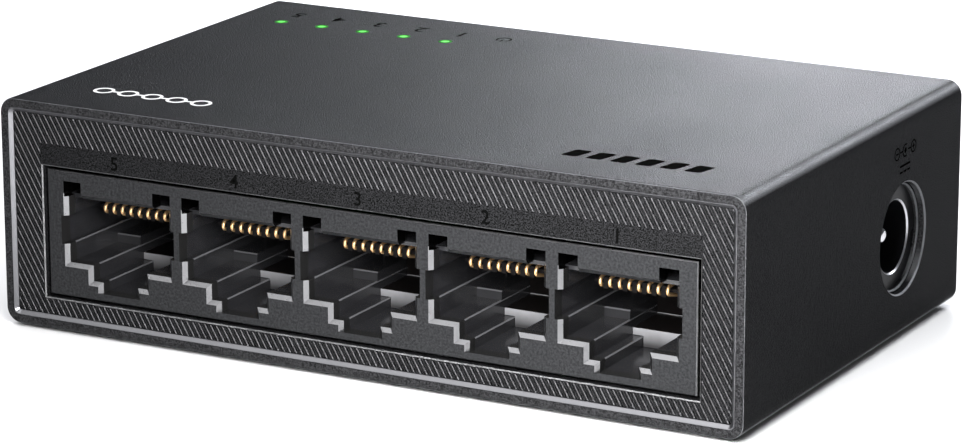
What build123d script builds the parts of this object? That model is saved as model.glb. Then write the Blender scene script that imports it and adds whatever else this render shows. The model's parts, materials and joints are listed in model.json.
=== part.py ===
from build123d import *
import os

# A five-port desktop network switch, each physical piece in a STEP file of its own.
# Millimetres. +X is to the right when facing the ports, -Y is towards the user at the
# ports, +Z is up. The origin is on the standing surface under the middle of the case.

os.makedirs("parts", exist_ok=True)

# ---------------------------------------------------------------- driving dimensions
case_width = 83.0
case_depth = 52.0
case_height = 23.6
case_radius = 1.6
wall = 1.5
rim = 0.9
pocket_depth = 2.4
pocket_radius = 0.6
edge_round = 0.18
fit_gap = 0.05

foot_radius = 4.0
foot_proud = 0.4
foot_sunk = 0.6
foot_x = 33.0
foot_y = 18.5

trim_width = 0.38
trim_bevel = 0.33
bezel_plate = 1.27

port_count = 5
port_pitch = 14.05
port_numbers = range(1, port_count + 1)
plate_half_width = 36.4
plate_bottom = 3.48
plate_top = 16.63
plate_thickness = 1.5
plate_recess = 0.57
window_gap_x = 0.38
window_gap_z = 0.32
fine_chamfer = 0.12

mouth_half = 6.0
mouth_floor = 7.0
mouth_ceiling = 13.9
mouth_chamfer = 0.4
key_half = 3.22
key_floor = 5.35
tab_half = 2.07
tab_floor = 4.27
groove_half = 6.72
groove_floor = 8.94
groove_ceiling = 11.9
notch_inner = 4.27
notch_outer = 6.35
notch_top = 15.55

housing_depth = 19.0
cavity_depth = 15.0
cavity_ceiling = 13.6
ceiling_slab = 0.4

contact_count = 8
contact_pitch = 1.02
wire_radius = 0.175
bend_radius = 0.425
bend_setback = 3.15
bend_height = 12.25
spring_slope = 14.0
spring_length = 8.0
hinge_gap = 0.08

inlet_y = 11.3
inlet_z = 10.5
inlet_hole_radius = 5.7
inlet_step_radius = 5.36
inlet_step_depth = 0.7
hole_chamfer = 0.16
inlet_bore_radius = 3.7
inlet_bore_depth = 9.5
inlet_bore_chamfer = 0.15
inlet_face_setback = 1.1
inlet_pin_radius = 0.9
inlet_pin_setback = 2.0

board_thickness = 1.2
tail_length = 0.6
board_gap = 0.2

led_y = 16.8
led_first_x = -34.3
led_pitch = 5.1
pipe_radius = 0.75
pipe_gap = 0.03
thin_top = 0.4

# ---------------------------------------------------------------- places worked out
front_y = -case_depth / 2
back_y = case_depth / 2
case_bottom = foot_proud
case_top = case_bottom + case_height
case_middle = case_bottom + case_height / 2
inner_half = case_width / 2 - wall
inner_bottom = case_bottom + wall
inner_top = case_top - wall
pocket_width = case_width - 2 * rim
pocket_height = case_height - 2 * rim
bezel_front = front_y + trim_bevel
bezel_back = front_y + pocket_depth
cover_back = back_y - trim_bevel
cover_front = back_y - pocket_depth
plate_front = front_y + plate_recess
plate_back = plate_front + plate_thickness
plate_middle = case_bottom + (plate_bottom + plate_top) / 2
plate_height = plate_top - plate_bottom
housing_back = plate_back + housing_depth
cavity_back = plate_front + cavity_depth
board_top = case_bottom + plate_bottom
board_bottom = board_top - board_thickness
board_front = bezel_back + board_gap
board_back = cover_front - 2 * board_gap
bend_y = plate_front + bend_setback + wire_radius + bend_radius
hinge_z = case_bottom + bend_height + bend_radius
inlet_x = inner_half - fit_gap


def port_x(number):
    """Centre of a port's opening: port 1 is on the right, port 5 on the left."""
    return (3 - number) * port_pitch


def wire_places(number):
    """Centre lines of one port's contact wires."""
    first = port_x(number) - contact_pitch * (contact_count - 1) / 2
    return [first + contact_pitch * step for step in range(contact_count)]


def facing_front(y):
    """A plane whose sketch is (x, z) and whose positive extrusion runs to -Y."""
    return Plane.XZ.offset(-y)


def finish(builder, name):
    """Label a piece and write its STEP file."""
    builder.part.label = name
    export_step(builder.part, "parts/" + name + ".step")


# ---------------------------------------------------------------- outer sleeve
boss_size = 4.0
boss_depth = 6.4
boss_height = 6.0
boss_z = case_middle + 3.0
boss_x = inner_half - boss_size / 2
screw_radius = 1.0
screw_length = 5.8
head_radius = 1.9
head_height = 1.2
boss_end = 0.5
thread_gap = 0.02
head_sunk = 0.1
rail_width = 1.6
rail_length = 44.0
hold_rail_length = 36.0
hold_rail_y = -2.0
hold_rail_height = 1.0
vent_width = 1.2
floor_vent_length = 13.0
floor_vent_pitch = 4.0
floor_vent_rows = 20.0
floor_vent_count = 12

with BuildPart() as outer_sleeve:
    with BuildSketch(facing_front(back_y)):
        with Locations((0, case_middle)):
            RectangleRounded(case_width, case_height, case_radius)
    extrude(amount=case_depth)
    end_faces = outer_sleeve.faces().sort_by(Axis.Y)
    fillet(end_faces[0].edges() + end_faces[-1].edges(), edge_round)
    with BuildSketch(facing_front(back_y)):
        with Locations((0, case_middle)):
            RectangleRounded(2 * inner_half, case_height - 2 * wall, pocket_radius)
    extrude(amount=case_depth, mode=Mode.SUBTRACT)
    for pocket_start in (bezel_back, back_y):
        with BuildSketch(facing_front(pocket_start)):
            with Locations((0, case_middle)):
                RectangleRounded(pocket_width, pocket_height, pocket_radius)
        extrude(amount=pocket_depth, mode=Mode.SUBTRACT)
    # Stepped hole in the right side for the power plug.
    inlet_centre = (case_width / 2, inlet_y, case_bottom + inlet_z)
    with Locations(Plane(origin=inlet_centre, x_dir=(0, 1, 0), z_dir=(1, 0, 0))):
        CounterBoreHole(inlet_step_radius, inlet_hole_radius, inlet_step_depth, depth=2 * wall)
    hole_edges = outer_sleeve.edges().filter_by(GeomType.CIRCLE)
    outer_edge = hole_edges.filter_by(lambda edge: edge.radius == inlet_hole_radius).sort_by(Axis.X)[-1]
    step_edge = hole_edges.filter_by(lambda edge: edge.radius == inlet_step_radius).sort_by(Axis.X)[-1]
    chamfer([outer_edge, step_edge], hole_chamfer)
    # Five through holes over the port LEDs, and a thinned spot over the power LED.
    for led in range(port_count):
        with BuildSketch(Plane.XY.offset(inner_top)):
            with Locations((led_first_x + led * led_pitch, led_y)):
                Circle(pipe_radius + pipe_gap)
        extrude(amount=wall, mode=Mode.SUBTRACT)
    with BuildSketch(Plane.XY.offset(inner_top)):
        with Locations((led_first_x + port_count * led_pitch, led_y)):
            Circle(pipe_radius + pipe_gap)
    extrude(amount=wall - thin_top, mode=Mode.SUBTRACT)
    # Underside: round recesses for the feet and two rows of vent slots.
    with BuildSketch(Plane.XY.offset(case_bottom)):
        with GridLocations(2 * foot_x, 2 * foot_y, 2, 2):
            Circle(foot_radius + fit_gap)
    extrude(amount=foot_sunk, mode=Mode.SUBTRACT)
    with BuildSketch(Plane.XY.offset(case_bottom)):
        with GridLocations(floor_vent_pitch, floor_vent_rows, floor_vent_count, 2):
            SlotOverall(floor_vent_length, vent_width, rotation=90)
    extrude(amount=wall, mode=Mode.SUBTRACT)
    # Rails that carry the circuit board, with an upper rail on the left side only.
    for side in (-1, 1):
        with BuildSketch(Plane.XY.offset(inner_bottom)):
            with Locations((side * (inner_half - rail_width / 2), 0)):
                Rectangle(rail_width, rail_length)
        extrude(amount=board_bottom - inner_bottom)
    with BuildSketch(Plane.XY.offset(board_top)):
        with Locations((-inner_half + rail_width / 2, hold_rail_y)):
            Rectangle(rail_width, hold_rail_length)
    extrude(amount=hold_rail_height)
    # Bosses for the rear cover's screws.
    with BuildSketch(facing_front(cover_front)):
        with Locations((-boss_x, boss_z), (boss_x, boss_z)):
            Rectangle(boss_size, boss_height)
    extrude(amount=boss_depth)
    with BuildSketch(facing_front(cover_front)):
        with Locations((-boss_x, boss_z), (boss_x, boss_z)):
            Circle(screw_radius + thread_gap)
    extrude(amount=boss_depth - boss_end, mode=Mode.SUBTRACT)
finish(outer_sleeve, "outer_sleeve")

# ---------------------------------------------------------------- rear cover
cover_width = pocket_width - 2 * fit_gap
cover_height = pocket_height - 2 * fit_gap
cover_chamfer = 0.2
screw_slack = 0.1
rear_vent_length = 12.0
rear_vent_pitch = 3.6
rear_vent_count = 17
lug_width = 5.0
lug_thickness = 1.5
lug_length = 2.4
lug_places = (-26.0, 10.0)
lug_z = board_top + fit_gap + lug_thickness / 2

with BuildPart() as rear_cover:
    with BuildSketch(facing_front(cover_back)):
        with Locations((0, case_middle)):
            RectangleRounded(cover_width, cover_height, pocket_radius)
    extrude(amount=cover_back - cover_front)
    outer_edges = rear_cover.faces().sort_by(Axis.Y)[-1].edges()
    chamfer(outer_edges, cover_chamfer)
    with BuildSketch(facing_front(cover_back)):
        with Locations((0, case_middle)):
            with GridLocations(rear_vent_pitch, 0, rear_vent_count, 1):
                SlotOverall(rear_vent_length, vent_width, rotation=90)
    extrude(amount=cover_back - cover_front, mode=Mode.SUBTRACT)
    for side in (-1, 1):
        screw_place = (side * boss_x, cover_back, boss_z)
        with Locations(Plane(origin=screw_place, x_dir=(1, 0, 0), z_dir=(0, 1, 0))):
            hole, seat = screw_radius + screw_slack, head_radius + screw_slack
            CounterBoreHole(hole, seat, head_height, depth=pocket_depth)
    # Two lugs that hold the board down on its rails.
    with BuildSketch(facing_front(cover_front)):
        with Locations([(lug_x, lug_z) for lug_x in lug_places]):
            Rectangle(lug_width, lug_thickness)
    extrude(amount=lug_length)
finish(rear_cover, "rear_cover")

# ---------------------------------------------------------------- cover screws
cross_length = 2.2
cross_width = 0.4
cross_depth = 0.6

with BuildPart() as cover_screws:
    head_seat = cover_back - head_height
    for side in (-1, 1):
        with BuildSketch(facing_front(head_seat)):
            with Locations((side * boss_x, boss_z)):
                Circle(screw_radius)
        extrude(amount=screw_length)
        with BuildSketch(facing_front(cover_back - head_sunk)):
            with Locations((side * boss_x, boss_z)):
                Circle(head_radius)
        extrude(amount=head_height - head_sunk)
        with BuildSketch(facing_front(cover_back - head_sunk)):
            with Locations((side * boss_x, boss_z)):
                Rectangle(cross_length, cross_width)
                Rectangle(cross_width, cross_length)
        extrude(amount=cross_depth, mode=Mode.SUBTRACT)
finish(cover_screws, "cover_screws")

# ---------------------------------------------------------------- rubber feet
foot_chamfer = 0.2
foot_names = {
    "foot_front_left": (-foot_x, -foot_y),
    "foot_front_right": (foot_x, -foot_y),
    "foot_rear_left": (-foot_x, foot_y),
    "foot_rear_right": (foot_x, foot_y),
}
for foot_name, foot_place in foot_names.items():
    with BuildPart() as foot:
        with BuildSketch():
            with Locations(foot_place):
                Circle(foot_radius)
        extrude(amount=foot_proud + foot_sunk)
        chamfer(foot.faces().sort_by(Axis.Z)[0].edges(), foot_chamfer)
    finish(foot, foot_name)

# ---------------------------------------------------------------- accent trim
trim_outer_width = pocket_width - 2 * fit_gap
trim_outer_height = pocket_height - 2 * fit_gap
trim_inner_width = trim_outer_width - 2 * trim_width
trim_inner_height = trim_outer_height - 2 * trim_width
trim_inner_radius = 0.3

with BuildPart() as accent_trim:
    with BuildSketch(facing_front(bezel_front + bezel_plate)):
        with Locations((0, case_middle)):
            RectangleRounded(trim_outer_width, trim_outer_height, pocket_radius)
            RectangleRounded(trim_inner_width, trim_inner_height, trim_inner_radius, mode=Mode.SUBTRACT)
    extrude(amount=bezel_plate + trim_bevel)
    bevel_edges = accent_trim.faces().sort_by(Axis.Y)[0].inner_wires()[0].edges()
    chamfer(bevel_edges, trim_bevel)
finish(accent_trim, "accent_trim")

# ---------------------------------------------------------------- front bezel
window_width = 2 * (plate_half_width + window_gap_x)
window_height = plate_height + 2 * window_gap_z
bezel_width = trim_inner_width - fit_gap
bezel_height = trim_inner_height - fit_gap
bezel_radius = trim_inner_radius - fit_gap / 2
clip_x = 24.0
clip_gap = 0.15
clip_width = 6.0
clip_length = 4.0
clip_thickness = 0.9

with BuildPart() as front_bezel:
    with BuildSketch(facing_front(bezel_back)):
        with Locations((0, case_middle)):
            RectangleRounded(trim_outer_width, trim_outer_height, pocket_radius)
    extrude(amount=bezel_back - bezel_front - bezel_plate)
    with BuildSketch(facing_front(bezel_back)):
        with Locations((0, case_middle)):
            RectangleRounded(bezel_width, bezel_height, bezel_radius)
    extrude(amount=bezel_back - bezel_front)
    with BuildSketch(facing_front(bezel_back)):
        with Locations((0, plate_middle)):
            Rectangle(window_width, window_height)
    extrude(amount=pocket_depth, mode=Mode.SUBTRACT)
    window_edges = front_bezel.faces().sort_by(Axis.Y)[0].inner_wires()[0].edges()
    chamfer(window_edges, fine_chamfer)
    # Clips that spring behind the sleeve's front shoulder.
    with BuildSketch(facing_front(bezel_back + clip_length)):
        clip_z = inner_top - clip_gap - clip_thickness / 2
        with Locations((-clip_x, clip_z), (clip_x, clip_z)):
            Rectangle(clip_width, clip_thickness)
    extrude(amount=clip_length)
finish(front_bezel, "front_bezel")


# ---------------------------------------------------------------- jack face plate
def port_mouth(number):
    """Outline of one port's opening, less its latch tab, where the bevels start."""
    x = port_x(number)
    half = mouth_half + mouth_chamfer
    key = key_half + mouth_chamfer
    top = case_bottom + mouth_ceiling + mouth_chamfer
    shelf = case_bottom + mouth_floor - mouth_chamfer
    key_z = case_bottom + key_floor - mouth_chamfer
    right = [(half, top), (half, shelf), (key, shelf), (key, key_z)]
    left = [(-across, height) for across, height in reversed(right)]
    return [(x + across, height) for across, height in right + left]


def side_grooves(number):
    """Centre of the band where one port's opening is widened at both sides."""
    return (port_x(number), case_bottom + (groove_floor + groove_ceiling) / 2)


notch_width = notch_outer - notch_inner
notch_middle = (notch_outer + notch_inner) / 2
notch_height = notch_top - mouth_ceiling

with BuildPart() as jack_face_plate:
    with BuildSketch(facing_front(plate_back)):
        with Locations((0, plate_middle)):
            Rectangle(2 * plate_half_width, plate_height)
    extrude(amount=plate_thickness)
    chamfer(jack_face_plate.faces().sort_by(Axis.Y)[0].edges(), fine_chamfer)
    for number in port_numbers:
        x = port_x(number)
        with BuildSketch(facing_front(plate_front)):
            with BuildLine():
                Polyline(*port_mouth(number), close=True)
            make_face()
        extrude(amount=-mouth_chamfer, taper=45, mode=Mode.SUBTRACT)
        with BuildSketch(facing_front(plate_back)):
            with BuildLine():
                Polyline(*port_mouth(number), close=True)
            make_face()
            offset(amount=-mouth_chamfer, kind=Kind.INTERSECTION)
            with Locations((x, case_bottom + (tab_floor + key_floor) / 2)):
                Rectangle(2 * tab_half, key_floor - tab_floor)
        extrude(amount=plate_thickness, mode=Mode.SUBTRACT)
        # The latch tab has a bevel at each side and none along its floor.
        bevel_back = plate_front + mouth_chamfer
        wide = tab_half + mouth_chamfer
        with BuildSketch(Plane.XY.offset(case_bottom + tab_floor)):
            with BuildLine():
                front_edge = ((x - wide, plate_front), (x + wide, plate_front))
                back_edge = ((x + tab_half, bevel_back), (x - tab_half, bevel_back))
                Polyline(*front_edge, *back_edge, close=True)
            make_face()
        extrude(amount=key_floor - tab_floor, mode=Mode.SUBTRACT)
        with BuildSketch(facing_front(plate_back)):
            with Locations(side_grooves(number)):
                Rectangle(2 * groove_half, groove_ceiling - groove_floor)
            notch_z = case_bottom + mouth_ceiling + notch_height / 2
            for side in (-1, 1):
                with Locations((x + side * notch_middle, notch_z)):
                    Rectangle(notch_width, notch_height)
        extrude(amount=plate_thickness, mode=Mode.SUBTRACT)
finish(jack_face_plate, "jack_face_plate")

# ---------------------------------------------------------------- jack housing
housing_half = plate_half_width - 2 * fit_gap
housing_top = case_bottom + plate_top - fit_gap
housing_roof = 0.5
hollow_depth = 10.0
groove_end = 2.0
latch_step_depth = 9.0
latch_step_height = 0.95
step_bevel = 0.12
carrier_half = 5.8
edge_bevel = 0.17
long_edges = ((mouth_half, groove_floor), (key_half, mouth_floor), (tab_half, key_floor))
carrier_depth = 3.2

with BuildPart() as jack_housing:
    with BuildSketch(facing_front(housing_back)):
        with Locations((0, (board_top + housing_top) / 2)):
            Rectangle(2 * housing_half, housing_top - board_top)
    extrude(amount=housing_depth)
    for number in port_numbers:
        x = port_x(number)
        # The stepped cavity: body of the plug, shoulder of its latch, latch tab.
        steps = [
            (mouth_half, mouth_floor, cavity_ceiling),
            (key_half, key_floor, mouth_floor),
            (tab_half, tab_floor, key_floor),
        ]
        with BuildSketch(facing_front(cavity_back)):
            for half, floor, ceiling in steps:
                with Locations((x, case_bottom + (floor + ceiling) / 2)):
                    Rectangle(2 * half, ceiling - floor)
            # A square set on its corner bevels the long edge that it is centred on.
            for side in (-1, 1):
                for half, height in long_edges:
                    with Locations((x + side * half, case_bottom + height)):
                        Rectangle(edge_bevel, edge_bevel, rotation=45)
        extrude(amount=cavity_back - plate_back, mode=Mode.SUBTRACT)
        with BuildSketch(facing_front(cavity_back - groove_end)):
            with Locations(side_grooves(number)):
                Rectangle(2 * groove_half, groove_ceiling - groove_floor)
        extrude(amount=cavity_back - groove_end - plate_back, mode=Mode.SUBTRACT)
        # Hollow over the cavity's thin ceiling, seen through the plate's notches.
        hollow_floor = case_bottom + cavity_ceiling + ceiling_slab
        hollow_ceiling = housing_top - housing_roof
        with BuildSketch(facing_front(plate_back + hollow_depth)):
            with Locations((x, (hollow_floor + hollow_ceiling) / 2)):
                Rectangle(2 * notch_outer, hollow_ceiling - hollow_floor)
        extrude(amount=hollow_depth, mode=Mode.SUBTRACT)
        # Seat of the contact carrier, open to the board.
        with BuildSketch(facing_front(cavity_back + carrier_depth + fit_gap)):
            with Locations((x, (board_top + case_bottom + cavity_ceiling) / 2)):
                Rectangle(2 * (carrier_half + fit_gap), case_bottom + cavity_ceiling - board_top)
        extrude(amount=carrier_depth + fit_gap, mode=Mode.SUBTRACT)
        # Steps on both shelves that stop the plug's nose, bevelled along their front.
        step_front = plate_front + latch_step_depth
        step_low = case_bottom + mouth_floor
        step_high = step_low + latch_step_height
        for step_left in (x - mouth_half, x + key_half):
            with BuildSketch(Plane.YZ.offset(step_left)):
                with BuildLine():
                    rise = ((step_front, step_low), (step_front, step_high - step_bevel))
                    top = ((step_front + step_bevel, step_high), (cavity_back, step_high))
                    Polyline(*rise, *top, (cavity_back, step_low), close=True)
                make_face()
            extrude(amount=mouth_half - key_half)
finish(jack_housing, "jack_housing")

# ---------------------------------------------------------------- contact carriers
comb_half_thickness = 0.18
comb_z = case_bottom + bend_height
comb_front = bend_y
comb_half_width = contact_pitch * (contact_count + 0.6) / 2
tooth_front = 0.3
tooth_back = 0.6
tooth_width = 0.5
tooth_height = 1.1
tooth_drop = 0.1
slot_width = 0.45
slot_gap = 0.075
lead_gap = 0.065
nose_gap = 0.04
nose_depth = 9.55
nose_top = 6.07
carrier_back = cavity_back + carrier_depth
carrier_top = case_bottom + cavity_ceiling - fit_gap
tail_y = carrier_back - 1.6
slot_floor = hinge_z - wire_radius - lead_gap

for number in port_numbers:
    x = port_x(number)
    wires = wire_places(number)
    with BuildPart() as contact_carrier:
        with BuildSketch(facing_front(carrier_back)):
            with Locations((x, (board_top + carrier_top) / 2)):
                Rectangle(2 * carrier_half, carrier_top - board_top)
        extrude(amount=carrier_depth)
        # Thin comb that the wires bend round, with a tooth between each two wires.
        with BuildSketch(facing_front(carrier_back)):
            with Locations((x, comb_z)):
                Rectangle(2 * comb_half_width, 2 * comb_half_thickness)
        extrude(amount=carrier_back - comb_front)
        teeth = [(wire + contact_pitch / 2, comb_z - tooth_drop) for wire in wires[:-1]]
        with BuildSketch(facing_front(comb_front + tooth_back)):
            with Locations(teeth):
                Rectangle(tooth_width, tooth_height)
        extrude(amount=tooth_back + tooth_front)
        # Nose that closes the latch slot, wide over its shoulder and narrow over its tab.
        nose_steps = [(key_half, key_floor, nose_top), (tab_half, tab_floor, key_floor)]
        with BuildSketch(facing_front(cavity_back)):
            for half, low, high in nose_steps:
                with Locations((x, case_bottom + (low + high) / 2 + nose_gap)):
                    Rectangle(2 * (half - nose_gap), high - low)
        extrude(amount=cavity_depth - nose_depth)
        # Slots that the fixed leads lie in, open at the back and down to the board.
        with BuildSketch(facing_front(carrier_back)):
            for wire in wires:
                with Locations((wire, (board_top + carrier_top) / 2)):
                    Rectangle(slot_width, carrier_top - board_top)
        extrude(amount=carrier_back - tail_y + wire_radius + slot_gap, mode=Mode.SUBTRACT)
        with BuildSketch(facing_front(carrier_back)):
            for wire in wires:
                with Locations((wire, (slot_floor + carrier_top) / 2)):
                    Rectangle(slot_width, carrier_top - slot_floor)
        extrude(amount=carrier_depth, mode=Mode.SUBTRACT)
    finish(contact_carrier, "contact_carrier_" + str(number))

# ---------------------------------------------------------------- contact wires
lead_bend = 0.5
arc_end = 270 - spring_slope

with BuildPart() as spring_wire:
    with BuildLine(Plane.YZ) as spring_path:
        bend = CenterArc((bend_y, case_bottom + bend_height), bend_radius, 90, arc_end - 90)
        PolarLine(bend @ 1, spring_length, -spring_slope)
    with BuildSketch(Plane(origin=spring_path.line @ 0, z_dir=spring_path.line % 0)):
        Circle(wire_radius)
    sweep(path=spring_path.line)

with BuildPart() as lead_wire:
    with BuildLine(Plane.YZ) as lead_path:
        lead_start = (bend_y + hinge_gap, hinge_z)
        lead_corner = (tail_y, hinge_z)
        lead_end = (tail_y, board_bottom - tail_length)
        FilletPolyline(lead_start, lead_corner, lead_end, radius=lead_bend)
    with BuildSketch(Plane(origin=lead_path.line @ 0, z_dir=lead_path.line % 0)):
        Circle(wire_radius)
    sweep(path=lead_path.line)

for number in port_numbers:
    places = [(wire, 0, 0) for wire in wire_places(number)]
    with BuildPart() as contact_springs:
        with Locations(places):
            add(spring_wire.part)
    finish(contact_springs, "contact_springs_" + str(number))
    with BuildPart() as contact_leads:
        with Locations(places):
            add(lead_wire.part)
    finish(contact_leads, "contact_leads_" + str(number))

# ---------------------------------------------------------------- power inlet
inlet_length = 12.8
inlet_back = inlet_x - inlet_length
inlet_face = case_width / 2 - inlet_face_setback
inlet_half = 5.4
inlet_corner = 1.0
press_gap = 0.02
inlet_top = case_bottom + inlet_z + inlet_half
axis_z = case_bottom + inlet_z
leaf_width = 2.4
leaf_thickness = 0.25
leaf_anchor_x = inlet_back + 1.2
leaf_anchor_z = axis_z - inlet_bore_radius - 1.0
leaf_crest = 0.9
terminal_thickness = 0.6
terminal_rise = 0.4
terminal_x = leaf_anchor_x - 0.62
channel_half = 1.5
channel_floor = axis_z - inlet_bore_radius - 1.9
channel_top = axis_z - inlet_bore_radius + 0.8
pin_tip = case_width / 2 - inlet_pin_setback
blade_thickness = 0.8
blade_width = 2.4
blade_rise = 1.5
blade_x = inlet_back - blade_thickness / 2 - press_gap
pin_round = 0.6

with BuildPart() as inlet_body:
    with BuildSketch(Plane.YZ.offset(inlet_back)):
        with Locations((inlet_y, (board_top + inlet_top) / 2)):
            Rectangle(2 * inlet_half, inlet_top - board_top)
    extrude(amount=inlet_x - inlet_back)
    chamfer(inlet_body.edges().filter_by(Axis.X).group_by(Axis.Z)[-1], inlet_corner)
    # Round collar that stands in the case's stepped hole.
    with BuildSketch(Plane.YZ.offset(inlet_x)):
        with Locations((inlet_y, axis_z)):
            Circle(inlet_step_radius - fit_gap)
    extrude(amount=inlet_face - inlet_x)
    # Barrel bore with a bevelled mouth, and the hole that holds the centre pin.
    with BuildSketch(Plane.YZ.offset(inlet_face)):
        with Locations((inlet_y, axis_z)):
            Circle(inlet_bore_radius)
    extrude(amount=inlet_x - inlet_bore_depth - inlet_face, mode=Mode.SUBTRACT)
    mouth = inlet_body.faces().sort_by(Axis.X)[-1].inner_wires()[0].edges()
    chamfer(mouth, inlet_bore_chamfer)
    with BuildSketch(Plane.YZ.offset(inlet_back)):
        with Locations((inlet_y, axis_z)):
            Circle(inlet_pin_radius + press_gap)
    extrude(amount=inlet_x - inlet_back, mode=Mode.SUBTRACT)
    # Channel under the bore for the leaf contact.
    with BuildSketch(Plane.YZ.offset(inlet_back)):
        with Locations((inlet_y, (channel_floor + channel_top) / 2)):
            Rectangle(2 * channel_half, channel_top - channel_floor)
    extrude(amount=inlet_bore_depth, mode=Mode.SUBTRACT)
    with BuildSketch(Plane.XY.offset(board_top)):
        with Locations((terminal_x, inlet_y)):
            Rectangle(terminal_thickness + 2 * press_gap, leaf_width + 2 * press_gap)
    extrude(amount=channel_floor - board_top, mode=Mode.SUBTRACT)
finish(inlet_body, "inlet_body")

with BuildPart() as inlet_pin:
    with BuildSketch(Plane.YZ.offset(inlet_back - press_gap)):
        with Locations((inlet_y, axis_z)):
            Circle(inlet_pin_radius)
    extrude(amount=pin_tip - inlet_back + press_gap)
    fillet(inlet_pin.faces().sort_by(Axis.X)[-1].edges(), pin_round)
    with BuildSketch(Plane.XY.offset(board_bottom - tail_length)):
        with Locations((blade_x, inlet_y)):
            Rectangle(blade_thickness, blade_width)
    extrude(amount=axis_z + blade_rise - board_bottom + tail_length)
finish(inlet_pin, "inlet_pin")

# The leaf contact: a bowed strip whose crest stands a little way into the bore.
leaf_tip_x = inlet_back + 8.0
leaf_crest_x = inlet_back + 5.6
leaf_crest_z = axis_z - inlet_bore_radius + leaf_crest

with BuildPart() as inlet_spring:
    with BuildSketch(Plane.XZ.offset(-inlet_y)):
        with BuildLine():
            rise = Line((leaf_anchor_x, leaf_anchor_z), (leaf_crest_x - 0.6, leaf_crest_z - 0.12))
            crest = TangentArc(rise @ 1, (leaf_crest_x + 0.7, leaf_crest_z - 0.25), tangent=rise % 1)
            Line(crest @ 1, (leaf_tip_x, leaf_crest_z - 1.0))
            offset(amount=leaf_thickness / 2, side=Side.BOTH)
        make_face()
    extrude(amount=leaf_width / 2, both=True)
finish(inlet_spring, "inlet_spring")

with BuildPart() as inlet_terminal:
    with BuildSketch(Plane.XY.offset(board_bottom - tail_length)):
        with Locations((terminal_x, inlet_y)):
            Rectangle(terminal_thickness, leaf_width)
    extrude(amount=leaf_anchor_z + terminal_rise - board_bottom + tail_length)
finish(inlet_terminal, "inlet_terminal")

# ---------------------------------------------------------------- circuit board
board_side_gap = 0.4
board_corner = 1.0
lead_hole_radius = 0.3
slot_slack = 0.3
board_width = 2 * (inner_half - board_side_gap)

with BuildPart() as circuit_board:
    with BuildSketch(Plane.XY.offset(board_bottom)):
        with Locations((0, (board_front + board_back) / 2)):
            RectangleRounded(board_width, board_back - board_front, board_corner)
        for number in port_numbers:
            with Locations([(wire, tail_y) for wire in wire_places(number)]):
                Circle(lead_hole_radius, mode=Mode.SUBTRACT)
        with Locations((blade_x, inlet_y)):
            Rectangle(blade_thickness + slot_slack, blade_width + slot_slack, mode=Mode.SUBTRACT)
        with Locations((terminal_x, inlet_y)):
            Rectangle(terminal_thickness + slot_slack, leaf_width + slot_slack, mode=Mode.SUBTRACT)
    extrude(amount=board_thickness)
finish(circuit_board, "circuit_board")

# ---------------------------------------------------------------- parts on the board
transformer_y = housing_back + 5.5
transformer_size = (12.0, 8.4, 5.4)

for number in port_numbers:
    x = port_x(number)
    length, width, height = transformer_size
    with BuildPart() as line_transformer:
        with BuildSketch(Plane.XY.offset(board_top + 0.3)):
            with Locations((x, transformer_y)):
                Rectangle(length, width)
        extrude(amount=height)
        chamfer(line_transformer.faces().sort_by(Axis.Z)[-1].edges(), 0.4)
        # Gull-wing feet along both long sides.
        with BuildSketch(Plane.XY.offset(board_top)):
            with Locations((x, transformer_y)):
                with GridLocations(1.8, width + 0.6, 6, 2):
                    Rectangle(0.6, 1.6)
        extrude(amount=0.5)
    finish(line_transformer, "line_transformer_" + str(number))

with BuildPart() as switch_chip:
    with BuildSketch(Plane.XY.offset(board_top)):
        with Locations((0.0, 14.5)):
            Rectangle(11.0, 11.0)
    extrude(amount=0.9)
    chamfer(switch_chip.faces().sort_by(Axis.Z)[-1].edges(), 0.15)
    with BuildSketch(Plane.XY.offset(board_top + 0.9)):
        with Locations((-4.2, 10.3)):
            Circle(0.5)
    extrude(amount=-0.1, mode=Mode.SUBTRACT)
finish(switch_chip, "switch_chip")


def small_outline_chip(name, x, y):
    """An eight-lead chip: bevelled body with four leads along each long side."""
    with BuildPart() as chip:
        with BuildSketch(Plane.XY.offset(board_top + 0.15)):
            with Locations((x, y)):
                Rectangle(4.9, 3.9)
        extrude(amount=1.4)
        chamfer(chip.faces().sort_by(Axis.Z)[-1].edges(), 0.2)
        with BuildSketch(Plane.XY.offset(board_top)):
            with Locations((x, y)):
                with GridLocations(1.27, 4.9, 4, 2):
                    Rectangle(0.4, 1.1)
        extrude(amount=0.25)
    finish(chip, name)


small_outline_chip("memory_chip", 11.5, 16.5)
small_outline_chip("regulator_chip", 20.0, 20.0)

with BuildPart() as crystal:
    with BuildSketch(Plane.XY.offset(board_top)):
        with Locations((12.0, 11.0)):
            SlotOverall(8.4, 4.0)
    extrude(amount=3.4)
    fillet(crystal.faces().sort_by(Axis.Z)[-1].edges(), 0.4)
finish(crystal, "crystal")

with BuildPart() as power_inductor:
    with BuildSketch(Plane.XY.offset(board_top)):
        with Locations((27.5, 20.0)):
            RectangleRounded(5.8, 5.2, 1.2)
    extrude(amount=3.0)
    fillet(power_inductor.faces().sort_by(Axis.Z)[-1].edges(), 0.4)
finish(power_inductor, "power_inductor")

capacitor_radius = 2.5
for capacitor, capacitor_y in ((1, 8.6), (2, 14.2)):
    with BuildPart() as bulk_capacitor:
        with BuildSketch(Plane.XY.offset(board_top)):
            with Locations((20.6, capacitor_y)):
                Rectangle(5.3, 5.3)
        extrude(amount=0.8)
        with BuildSketch(Plane.XY.offset(board_top + 0.8)):
            with Locations((20.6, capacitor_y)):
                Circle(capacitor_radius)
        extrude(amount=4.6)
        fillet(bulk_capacitor.faces().sort_by(Axis.Z)[-1].edges(), 0.35)
    finish(bulk_capacitor, "bulk_capacitor_" + str(capacitor))

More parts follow.
